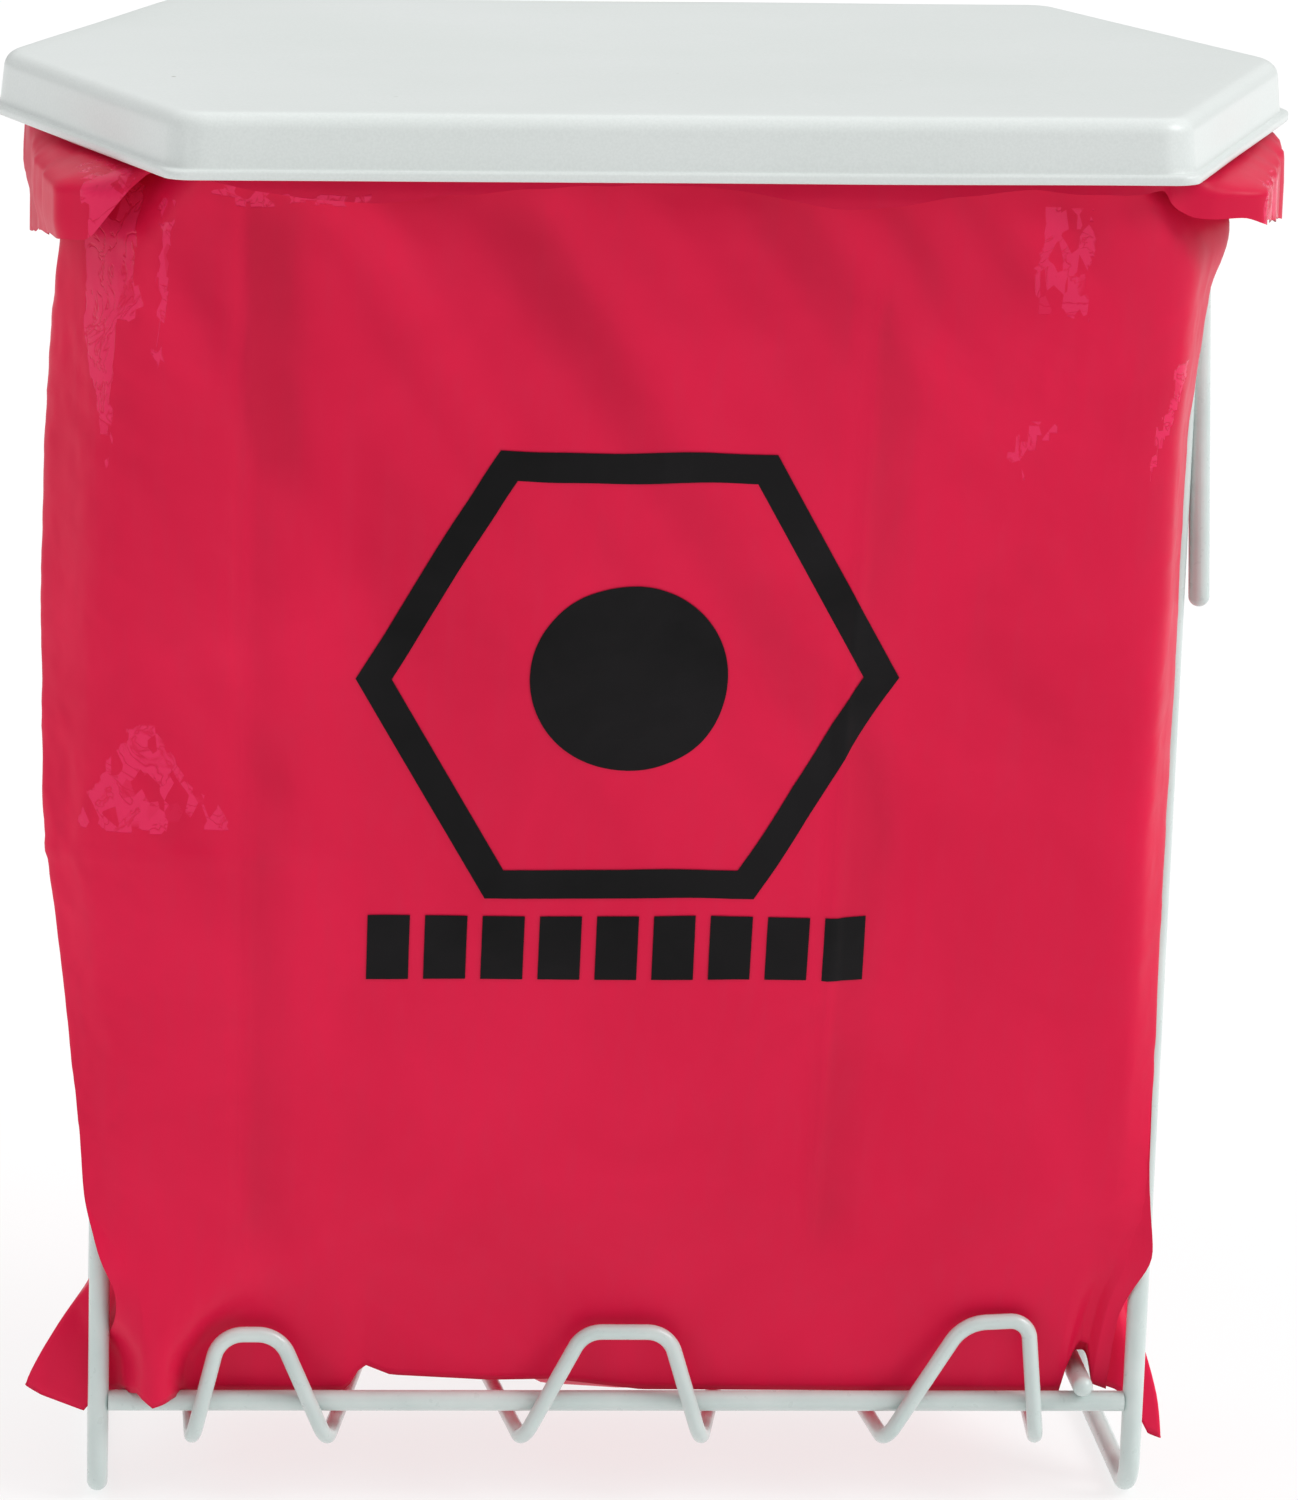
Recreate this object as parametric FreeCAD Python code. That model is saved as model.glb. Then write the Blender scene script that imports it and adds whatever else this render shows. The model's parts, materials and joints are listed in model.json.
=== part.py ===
import FreeCAD, Part
import math
import os

# Biohazard waste bin: a welded wire stand, a film liner folded over its rim ring, and a hinged
# hexagonal lid. Millimetres. The origin is on the floor at the middle of the stand, +Z is up,
# the front faces -Y and +X is to the right of someone who stands in front of it.

Vec = FreeCAD.Vector

# Wire stock
frame_wire = 6.35
light_wire = 4.76
frame_r = frame_wire / 2
light_r = light_wire / 2
weld_sink = 0.15

# Lid
lid_top = 440.6
lid_wall = 2.5
lid_drop = 18.2
flange_height = 2.8
flange_offset = 18.0
skirt_offset = 15.8
skirt_draft = 1.0
lid_edge_radius = 7.0
lid_corner_radius = 17.0
lid_end_radius = 30.0

# Rim ring: hexagon of the wire's centreline, with pointed ends at left and right
ring_half_front = 131.8
ring_half_span = 177.6
ring_half_depth = 120.5
ring_bend = 16.0
ring_z = lid_top - 9.1

# Stand
leg_x = 159.6
leg_y = 49.0
leg_bend = 10.0
bar_z = 32.0
floor_wire_x = 143.0
floor_wire_overhang = 4.0
stub_top = Vec(161.6, -42.2, ring_z - frame_r + 0.3)
stub_end = Vec(167.3, -48.2, 287.0)

# Bag stops: half-loops of light wire in front of the front bar
stop_foot_z = 20.8
stop_foot_bend = 5.5
stop_end_past_bar = 3.0

# Hinge at the rear of the lid
hinge_y = 144.8
hinge_z = ring_z - frame_r - light_r + weld_sink
hinge_arm_x = 60.0
hinge_bend = 6.0
hinge_clearance = 0.06
clip_x = 34.0
clip_half_length = 14.0
clip_plate = 3.0
barrel_radius = 5.0
screw_spacing = 18.0
screw_z = hinge_z + 4.1
screw_r = 1.45
screw_hole_r = 1.6
screw_head_r = 2.9
screw_head_height = 1.8
screw_length = 8.5

# Rubber pads under the lid, above the ring
pad_radius = 5.0
pad_gap = 0.3

# Film liner
film = 1.0
liner_gap = 0.6
cuff_offset = 5.5
cuff_bottom_z = lid_top - 26.5
liner_bottom_z = 30.2
liner_step_z = 41.9
liner_step_x = 139.0
liner_bottom_half_front = 140.0
liner_bottom_half_span = 156.0
liner_bottom_half_depth = 44.5
slot_clearance = 0.6


def hexagon(half_front, half_span, half_depth, corner_radius, end_radius, z):
    """Closed wire of a hexagon with pointed left and right ends and rounded corners."""
    corners = [
        (-half_front, -half_depth, corner_radius),
        (half_front, -half_depth, corner_radius),
        (half_span, 0.0, end_radius),
        (half_front, half_depth, corner_radius),
        (-half_front, half_depth, corner_radius),
        (-half_span, 0.0, end_radius),
    ]
    points = [Vec(0, -half_depth, z)]
    radii = []
    for x, y, radius in corners[1:] + corners[:1]:
        points.append(Vec(x, y, z))
        radii.append(radius)
    points.append(Vec(0, -half_depth, z))
    return Part.Wire(bent_edges(points, radii))


def bent_edges(points, radii):
    """Straight runs joined by tangent arcs: radii holds one radius for each inner point."""
    edges = []
    start = points[0]
    for index in range(1, len(points) - 1):
        corner = points[index]
        along = (corner - points[index - 1]).normalize()
        away = (points[index + 1] - corner).normalize()
        half_turn = along.getAngle(away) / 2
        radius = radii[index - 1]
        tangent = radius * math.tan(half_turn)
        inward = (away - along).normalize()
        arc_start = corner - along * tangent
        arc_end = corner + away * tangent
        arc_middle = corner + inward * (radius / math.cos(half_turn) - radius)
        edges.append(Part.LineSegment(start, arc_start).toShape())
        edges.append(Part.Arc(arc_start, arc_middle, arc_end).toShape())
        start = arc_end
    edges.append(Part.LineSegment(start, points[-1]).toShape())
    return edges


def ring_offset(offset):
    """Half front, half span and half depth of the ring's hexagon moved outward by offset."""
    length = math.hypot(ring_half_depth, ring_half_span - ring_half_front)
    normal_x = ring_half_depth / length
    normal_y = (ring_half_span - ring_half_front) / length
    reach = normal_x * ring_half_span + offset
    half_depth = ring_half_depth + offset
    return (reach - normal_y * half_depth) / normal_x, reach / normal_x, half_depth


def ring_hexagon(offset, corner_radius, end_radius, z):
    """Hexagon that runs parallel to the rim ring."""
    half_front, half_span, half_depth = ring_offset(offset)
    return hexagon(half_front, half_span, half_depth, corner_radius, end_radius, z)


def prism(wire, height):
    """Upright solid over a flat closed wire."""
    return Part.Face(wire).extrude(Vec(0, 0, height))


def sweep(edges, radius):
    """Round wire of a given radius along edges."""
    path = Part.Wire(edges)
    first = path.OrderedEdges[0]
    start = first.valueAt(first.FirstParameter)
    direction = first.tangentAt(first.FirstParameter)
    section = Part.Wire(Part.Circle(start, direction, radius).toShape())
    return path.makePipeShell([section], True, False)


def rod(start, end, radius, round_start=False, round_end=False):
    """Straight wire, with domed ends where asked."""
    direction = end - start
    solid = Part.makeCylinder(radius, direction.Length, start, direction)
    if round_start:
        solid = solid.fuse(Part.makeSphere(radius, start))
    if round_end:
        solid = solid.fuse(Part.makeSphere(radius, end))
    return solid.removeSplitter()


def rim_ring():
    return sweep(ring_hexagon(0, ring_bend, ring_bend, ring_z).Edges, frame_r)


def leg_hoop(side):
    """Front leg, floor runner and rear leg, bent from one wire."""
    top = ring_z - frame_r + 0.3
    points = [
        Vec(side * leg_x, -leg_y, top),
        Vec(side * leg_x, -leg_y, frame_r),
        Vec(side * leg_x, leg_y, frame_r),
        Vec(side * leg_x, leg_y, top),
    ]
    return sweep(bent_edges(points, [leg_bend, leg_bend]), frame_r)


def cross_bar(y):
    """Wire between two legs, butted against them."""
    reach = leg_x - frame_r + weld_sink
    return rod(Vec(-reach, y, bar_z), Vec(reach, y, bar_z), frame_r)


def floor_wire(side):
    """Front-to-back wire that lies on both bars and carries the liner."""
    z = bar_z + frame_wire - weld_sink
    reach = leg_y + floor_wire_overhang
    start = Vec(side * floor_wire_x, -reach, z)
    end = Vec(side * floor_wire_x, reach, z)
    return rod(start, end, frame_r, round_start=True, round_end=True)


def bag_stop(rear_x, foot_x, shoulders, shoulder_bends):
    """Arch in front of the front bar, whose two feet bend back and run under both bars.

    rear_x and foot_x hold the left and right x. shoulders holds the x and z of the arch's
    bends, from left to right.
    """
    arch_y = -(leg_y + frame_r + light_r - weld_sink)
    rear_y = leg_y + stop_end_past_bar
    rear_z = bar_z - frame_r - light_r + 2 * weld_sink
    points = [Vec(rear_x[0], rear_y, rear_z), Vec(foot_x[0], arch_y, stop_foot_z)]
    for x, z in shoulders:
        points.append(Vec(x, arch_y, z))
    points.append(Vec(foot_x[1], arch_y, stop_foot_z))
    points.append(Vec(rear_x[1], rear_y, rear_z))
    bends = [stop_foot_bend] + shoulder_bends + [stop_foot_bend]
    return sweep(bent_edges(points, bends), light_r)


def rim_stub(side):
    """Short wire from the ring, lapped along the outside of a front leg."""
    start = Vec(side * stub_top.x, stub_top.y, stub_top.z)
    end = Vec(side * stub_end.x, stub_end.y, stub_end.z)
    return rod(start, end, frame_r, round_end=True)


def hinge_wire():
    """U-shaped wire welded under the ring's rear run: its cross run is the lid's pivot."""
    inner_y = ring_half_depth - 2.0
    points = [
        Vec(hinge_arm_x, inner_y, hinge_z),
        Vec(hinge_arm_x, hinge_y, hinge_z),
        Vec(-hinge_arm_x, hinge_y, hinge_z),
        Vec(-hinge_arm_x, inner_y, hinge_z),
    ]
    return sweep(bent_edges(points, [hinge_bend, hinge_bend]), light_r)


def lid_body(wall):
    """Solid lid without its flange, moved inward by wall."""
    bottom_z = lid_top - lid_drop
    corner = lid_corner_radius - wall
    end = lid_end_radius - wall
    bottom = ring_hexagon(skirt_offset - wall, corner, end, bottom_z)
    top = ring_hexagon(skirt_offset - wall - skirt_draft, corner, end, lid_top - wall)
    body = Part.makeLoft([bottom, top], True, True)
    top_edges = [edge for edge in body.Edges if edge.BoundBox.ZMin > lid_top - wall - 0.01]
    return body.makeFillet(lid_edge_radius - wall, top_edges)


def lid_outside():
    """Outer form of the lid with its flange."""
    bottom_z = lid_top - lid_drop
    flange = prism(ring_hexagon(flange_offset, 11.0, 24.0, bottom_z), flange_height)
    rim_edges = [edge for edge in flange.Edges if edge.BoundBox.ZLength < 0.01]
    flange = flange.makeFillet(0.7, rim_edges)
    return lid_body(0).fuse(flange)


def screw_positions():
    for side in (-1, 1):
        for step in (-0.5, 0.5):
            yield side * clip_x + step * screw_spacing


def lid_shell():
    shell = lid_outside().cut(lid_body(lid_wall))
    notch_width = light_wire + 2 * 1.1
    notch_top = hinge_z + light_r + 0.8
    for side in (-1, 1):
        corner = Vec(side * hinge_arm_x - notch_width / 2, ring_half_depth + 8, lid_top - lid_drop - 1)
        notch = Part.makeBox(notch_width, 14, notch_top - corner.z, corner)
        shell = shell.cut(notch)
    for x in screw_positions():
        start = Vec(x, ring_half_depth + 8, screw_z)
        shell = shell.cut(Part.makeCylinder(screw_hole_r, 14, start, Vec(0, 1, 0)))
    return shell


def clip_face_y():
    """Outer face of a hinge clip's plate."""
    return ring_half_depth + skirt_offset + clip_plate


def hinge_clip(side):
    """Plate on the lid's rear skirt with a barrel that turns on the hinge wire."""
    left = side * clip_x - clip_half_length
    length = 2 * clip_half_length
    plate_y = ring_half_depth + skirt_offset - 4
    plate_bottom = lid_top - lid_drop + flange_height + 0.4
    plate = Part.makeBox(length, clip_face_y() - plate_y, 9.4, Vec(left, plate_y, plate_bottom))
    plate_edges = []
    for edge in plate.Edges:
        box = edge.BoundBox
        if box.YMin > clip_face_y() - 0.01 and box.XLength < 0.01:
            plate_edges.append(edge)
    plate = plate.makeFillet(1.2, plate_edges)
    barrel = Part.makeCylinder(barrel_radius, length, Vec(left, hinge_y, hinge_z), Vec(1, 0, 0))
    web = Part.makeBox(length, hinge_y - plate_y, 3.6, Vec(left, plate_y, plate_bottom))
    clip = plate.fuse(web).fuse(barrel)
    for step in (-0.5, 0.5):
        x = side * clip_x + step * screw_spacing
        recess_y = clip_face_y() - 0.01
        pocket = Part.makeCylinder(screw_head_r + 0.5, 9, Vec(x, recess_y, screw_z), Vec(0, 1, 0))
        hole = Part.makeCylinder(screw_hole_r, 14, Vec(x, plate_y - 1, screw_z), Vec(0, 1, 0))
        clip = clip.cut(pocket).cut(hole)
    bore_r = light_r + hinge_clearance
    bore = Part.makeCylinder(bore_r, length + 2, Vec(left - 1, hinge_y, hinge_z), Vec(1, 0, 0))
    return clip.cut(bore).cut(lid_outside()).removeSplitter()


def hinge_clip_screws():
    """Four pan-head screws through the clips and the skirt."""
    screws = []
    for x in screw_positions():
        seat = Vec(x, clip_face_y(), screw_z)
        shank = Part.makeCylinder(screw_r, screw_length, seat, Vec(0, -1, 0))
        head = Part.makeCylinder(screw_head_r, screw_head_height, seat, Vec(0, 1, 0))
        crown = [edge for edge in head.Edges if edge.BoundBox.YMin > seat.y + screw_head_height - 0.01]
        head = head.makeFillet(0.9, crown)
        slot_corner = Vec(x - 2.0, seat.y + screw_head_height - 0.8, screw_z - 0.35)
        slot = Part.makeBox(4.0, 2.0, 0.7, slot_corner)
        cross_corner = Vec(x - 0.35, seat.y + screw_head_height - 0.8, screw_z - 2.0)
        cross = Part.makeBox(0.7, 2.0, 4.0, cross_corner)
        screws.append(shank.fuse(head).cut(slot).cut(cross).removeSplitter())
    return Part.makeCompound(screws)


def lid_bumpers():
    """Eight rubber pads on the lid's underside, over the middle of the ring's sides."""
    bottom = ring_z + frame_r + pad_gap + film + pad_gap
    height = lid_top - lid_wall - bottom
    side_x = (ring_half_front + ring_half_span) / 2
    centres = []
    for x in (-1, 1):
        for y in (-1, 1):
            centres.append((x * side_x, y * ring_half_depth / 2))
            centres.append((x * 70.0, y * ring_half_depth))
    pads = []
    for x, y in centres:
        pad = Part.makeCylinder(pad_radius, height, Vec(x, y, bottom))
        rim = [edge for edge in pad.Edges if edge.BoundBox.ZMax < bottom + 0.01]
        pads.append(pad.makeFillet(0.6, rim))
    return Part.makeCompound(pads)


def liner_form(inset, bottom_z, top_z):
    """Tapered tub between the legs, stepped over the floor wires and moved inward by inset."""
    half_front, half_span, half_depth = ring_offset(-frame_r - liner_gap - inset)
    top = hexagon(half_front, half_span, half_depth, ring_bend - 4, ring_bend - 4, top_z)
    bottom = hexagon(
        liner_bottom_half_front - inset,
        liner_bottom_half_span - inset,
        liner_bottom_half_depth - inset,
        8.0,
        8.0,
        bottom_z,
    )
    form = Part.makeLoft([bottom, top], True, True)
    reach = 2 * ring_half_span
    for left in (liner_step_x - inset, -reach - liner_step_x + inset):
        corner = Vec(left, -reach / 2, 0)
        form = form.cut(Part.makeBox(reach, reach, liner_step_z + inset, corner))
    return form


def liner_bag():
    """Thin film tub whose mouth folds over the ring and hangs outside it as a short cuff."""
    fold_top = ring_z + frame_r + pad_gap + film
    fold_under = fold_top - film
    outer = prism(
        ring_hexagon(cuff_offset + film, ring_bend + 6, ring_bend + 6, cuff_bottom_z),
        fold_top - cuff_bottom_z,
    )
    inner = prism(
        ring_hexagon(cuff_offset, ring_bend + 5, ring_bend + 5, cuff_bottom_z - 1),
        fold_under - cuff_bottom_z + 1,
    )
    collar = outer.cut(inner)
    tub = liner_form(0, liner_bottom_z, fold_top)
    hollow = liner_form(film, liner_bottom_z + film, fold_top + 0.5)
    bag = collar.fuse(tub).cut(hollow)
    slot_half = light_r + slot_clearance
    for side in (-1, 1):
        corner = Vec(side * hinge_arm_x - slot_half, ring_half_depth + 3, cuff_bottom_z - 1)
        bag = bag.cut(Part.makeBox(2 * slot_half, 8, hinge_z + slot_half - corner.z, corner))
    return bag.removeSplitter()


nodes = {
    "lid_shell": lid_shell(),
    "left_hinge_clip": hinge_clip(-1),
    "right_hinge_clip": hinge_clip(1),
    "hinge_clip_screws": hinge_clip_screws(),
    "lid_bumpers": lid_bumpers(),
    "rim_ring": rim_ring(),
    "left_leg_hoop": leg_hoop(-1),
    "right_leg_hoop": leg_hoop(1),
    "front_bar": cross_bar(-leg_y),
    "rear_bar": cross_bar(leg_y),
    "left_floor_wire": floor_wire(-1),
    "right_floor_wire": floor_wire(1),
    "left_bag_stop": bag_stop((-132, -70), (-131, -90), [(-123, 55), (-105, 55)], [9, 10]),
    "middle_bag_stop": bag_stop((-45, 45), (-30, 25), [(-12, 56), (14, 56)], [9, 9]),
    "right_bag_stop": bag_stop((68, 134), (82, 129), [(105, 59), (125, 60)], [13, 6]),
    "left_rim_stub": rim_stub(-1),
    "right_rim_stub": rim_stub(1),
    "hinge_wire": hinge_wire(),
    "liner_bag": liner_bag(),
}

os.makedirs("parts", exist_ok=True)
for name, shape in nodes.items():
    shape.exportStep("parts/" + name + ".step")
    print(name, "valid" if shape.isValid() else "INVALID", len(shape.Solids), round(shape.Volume, 1))
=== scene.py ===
import bpy
import bmesh
import json
import math
import numpy as np
from mathutils import Matrix, Vector, noise
from mathutils.bvhtree import BVHTree


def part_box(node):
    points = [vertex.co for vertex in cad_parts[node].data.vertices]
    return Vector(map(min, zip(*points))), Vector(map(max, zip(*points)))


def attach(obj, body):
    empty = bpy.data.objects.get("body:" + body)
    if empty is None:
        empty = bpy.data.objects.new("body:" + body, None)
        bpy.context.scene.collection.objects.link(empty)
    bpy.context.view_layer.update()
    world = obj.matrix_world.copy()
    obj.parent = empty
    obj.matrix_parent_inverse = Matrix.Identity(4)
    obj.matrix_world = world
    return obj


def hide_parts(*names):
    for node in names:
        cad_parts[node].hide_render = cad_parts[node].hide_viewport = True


# Biohazard waste bin, in metres: the CAD model is the frame, and this script adds the lid's
# moulded skin, the hung film liner with its print, all materials, light and the camera.

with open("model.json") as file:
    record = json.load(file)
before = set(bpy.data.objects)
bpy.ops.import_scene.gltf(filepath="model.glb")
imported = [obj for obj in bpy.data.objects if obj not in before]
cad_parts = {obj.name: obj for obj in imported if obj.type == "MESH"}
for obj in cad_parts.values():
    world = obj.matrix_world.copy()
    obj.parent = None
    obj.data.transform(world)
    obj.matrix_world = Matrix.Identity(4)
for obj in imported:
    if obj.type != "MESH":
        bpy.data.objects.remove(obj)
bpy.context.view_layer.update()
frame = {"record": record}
MM = 0.001

# Hexagon of the rim ring's wire, and what lies parallel to it
lid_low, lid_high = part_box("lid_shell")
ring_low, ring_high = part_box("rim_ring")
WIRE_R = (ring_high.z - ring_low.z) / 2
RING_Z = (ring_high.z + ring_low.z) / 2
RING_DEPTH = ring_high.y - WIRE_R
RING_SPAN = 177.6 * MM
RING_FRONT = 131.8 * MM
FLANGE = lid_high.y - RING_DEPTH


def ring_hexagon(offset):
    """Half front, half span and half depth of the ring's hexagon moved outward by offset."""
    length = math.hypot(RING_DEPTH, RING_SPAN - RING_FRONT)
    normal_x = RING_DEPTH / length
    normal_y = (RING_SPAN - RING_FRONT) / length
    reach = normal_x * RING_SPAN + offset
    depth = RING_DEPTH + offset
    return (reach - normal_y * depth) / normal_x, reach / normal_x, depth


def outline(offset, corner_radius, end_radius, arc_steps, run_steps):
    """Points round the offset hexagon, the same number for every offset, anticlockwise."""
    front, span, depth = ring_hexagon(offset)
    corners = [
        (Vector((front, -depth)), corner_radius),
        (Vector((span, 0.0)), end_radius),
        (Vector((front, depth)), corner_radius),
        (Vector((-front, depth)), corner_radius),
        (Vector((-span, 0.0)), end_radius),
        (Vector((-front, -depth)), corner_radius),
    ]
    arcs = []
    for index, (corner, radius) in enumerate(corners):
        before = (corners[index - 1][0] - corner).normalized()
        after = (corners[(index + 1) % 6][0] - corner).normalized()
        half_turn = (math.pi - before.angle(after)) / 2
        centre = corner + (before + after).normalized() * (radius / math.cos(half_turn))
        start = corner + before * radius * math.tan(half_turn) - centre
        arc = []
        for step in range(arc_steps + 1):
            turn = 2 * half_turn * step / arc_steps
            rotated = Matrix.Rotation(turn, 2) @ start
            arc.append(centre + rotated)
        arcs.append(arc)
    points = []
    for index, arc in enumerate(arcs):
        points.extend(arc)
        after = arcs[(index + 1) % 6][0]
        for step in range(1, run_steps):
            points.append(arc[-1].lerp(after, step / run_steps))
    return np.array([tuple(point) for point in points])


def grid_object(name, rows):
    """Smooth mesh object of quads from equal rows of points, each row a closed loop."""
    rows = np.asarray(rows, float)
    count, width = rows.shape[:2]
    faces = []
    for row in range(count - 1):
        for column in range(width):
            after = (column + 1) % width
            base = row * width
            faces.append((base + column, base + after, base + width + after, base + width + column))
    mesh = bpy.data.meshes.new(name)
    mesh.from_pydata(rows.reshape(-1, 3).tolist(), [], faces)
    mesh.polygons.foreach_set("use_smooth", [True] * len(mesh.polygons))
    piece = bpy.data.objects.new(name, mesh)
    bpy.context.scene.collection.objects.link(piece)
    return piece


# ---------------------------------------------------------------- materials


def new_material(name):
    """New node material, with its node tree and its shader."""
    material = bpy.data.materials.new(name)
    material.use_nodes = True
    tree = material.node_tree
    shader = tree.nodes["Principled BSDF"]
    return material, tree, shader


def add_node(tree, kind, inputs=(), **settings):
    """Node of a kind: inputs are sockets to link or values to set, settings are its properties."""
    node = tree.nodes.new(kind)
    for key, value in settings.items():
        setattr(node, key, value)
    for key, value in dict(inputs).items():
        if isinstance(value, bpy.types.NodeSocket):
            tree.links.new(value, node.inputs[key])
        else:
            node.inputs[key].default_value = value
    return node


def noise_node(tree, coords, scale, detail=3.0, roughness=0.5, distortion=0.0):
    inputs = {
        "Vector": coords,
        "Scale": scale,
        "Detail": detail,
        "Roughness": roughness,
        "Distortion": distortion,
    }
    return add_node(tree, "ShaderNodeTexNoise", inputs).outputs["Fac"]


def ramp(tree, factor, stops):
    """Colour ramp: stops are (place, colour) pairs."""
    node = add_node(tree, "ShaderNodeValToRGB", {"Fac": factor})
    elements = node.color_ramp.elements
    elements[0].position, elements[0].color = stops[0]
    elements[1].position, elements[1].color = stops[-1]
    for place, colour in stops[1:-1]:
        elements.new(place).color = colour
    return node.outputs["Color"]


def grey(value):
    return (value, value, value, 1.0)


def object_coords(tree):
    return add_node(tree, "ShaderNodeTexCoord").outputs["Object"]


def mix_colour(tree, factor, first, second, blend="MIX"):
    node = add_node(tree, "ShaderNodeMix", data_type="RGBA", blend_type=blend)
    sockets = ((0, factor), (6, first), (7, second))
    for index, value in sockets:
        if isinstance(value, bpy.types.NodeSocket):
            tree.links.new(value, node.inputs[index])
        else:
            node.inputs[index].default_value = value
    return node.outputs[2]


def bump(tree, shader, layers):
    """Stack of bumps: layers are (height socket, strength, distance in metres)."""
    normal = None
    for height, strength, distance in layers:
        inputs = {"Height": height, "Strength": strength, "Distance": distance}
        if normal is not None:
            inputs["Normal"] = normal
        normal = add_node(tree, "ShaderNodeBump", inputs).outputs["Normal"]
    tree.links.new(normal, shader.inputs["Normal"])


def set_surface(tree, shader, base, roughness):
    """Links the colour and the roughness to a shader."""
    tree.links.new(base, shader.inputs["Base Color"])
    tree.links.new(roughness, shader.inputs["Roughness"])


def lid_material():
    """White moulded plastic: faint mottling, orange-peel gloss, tiny scuffs and specks."""
    material, tree, shader = new_material("lid_moulded_white")
    coords = object_coords(tree)
    cloud = noise_node(tree, coords, 9.0, 4.0)
    base = ramp(tree, cloud, [(0.3, (0.665, 0.712, 0.692, 1)), (0.7, (0.705, 0.745, 0.732, 1))])
    grain = noise_node(tree, coords, 1400.0, 2.0)
    base = mix_colour(tree, 0.10, base, ramp(tree, grain, [(0.35, grey(0.62)), (0.65, grey(0.95))]))
    cell_inputs = {"Vector": coords, "Scale": 34.0, "Randomness": 1.0}
    speck_cells = add_node(tree, "ShaderNodeTexVoronoi", cell_inputs)
    speck = ramp(tree, speck_cells.outputs["Distance"], [(0.018, grey(1.0)), (0.028, grey(0.0))])
    patch = ramp(tree, noise_node(tree, coords, 12.0, 2.0), [(0.50, grey(0.0)), (0.58, grey(0.8))])
    dirt = mix_colour(tree, 1.0, speck, patch, "MULTIPLY")
    base = mix_colour(tree, dirt, base, (0.22, 0.21, 0.17, 1))
    stretch = add_node(tree, "ShaderNodeMapping", {"Vector": coords, "Scale": (60.0, 900.0, 400.0)})
    scratch = noise_node(tree, stretch.outputs["Vector"], 1.0, 3.0, 0.6)
    roughness = ramp(tree, scratch, [(0.35, grey(0.325)), (0.75, grey(0.355))])
    set_surface(tree, shader, base, roughness)
    shader.inputs["Specular IOR Level"].default_value = 0.5
    peel = noise_node(tree, coords, 420.0, 2.0)
    wave = noise_node(tree, coords, 22.0, 2.0)
    bump(tree, shader, [(wave, 0.35, 0.0006), (peel, 0.10, 0.0003)])
    return material


def coating_material():
    """Thick white powder coat on wire: runs, orange peel, thin spots and light wear."""
    material, tree, shader = new_material("wire_powder_coat")
    coords = object_coords(tree)
    cloud = noise_node(tree, coords, 38.0, 4.0)
    base = ramp(tree, cloud, [(0.3, (0.545, 0.645, 0.625, 1)), (0.7, (0.66, 0.735, 0.715, 1))])
    wear = noise_node(tree, coords, 130.0, 6.0, 0.7)
    worn = ramp(tree, wear, [(0.66, grey(0.0)), (0.74, grey(0.55))])
    base = mix_colour(tree, worn, base, (0.44, 0.53, 0.51, 1))
    roughness = ramp(tree, noise_node(tree, coords, 260.0, 3.0), [(0.3, grey(0.26)), (0.7, grey(0.40))])
    set_surface(tree, shader, base, roughness)
    shader.inputs["Coat Weight"].default_value = 0.35
    shader.inputs["Coat Roughness"].default_value = 0.18
    runs = noise_node(tree, coords, 90.0, 3.0)
    peel = noise_node(tree, coords, 700.0, 2.0)
    bump(tree, shader, [(runs, 0.5, 0.0005), (peel, 0.2, 0.0002)])
    return material


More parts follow.
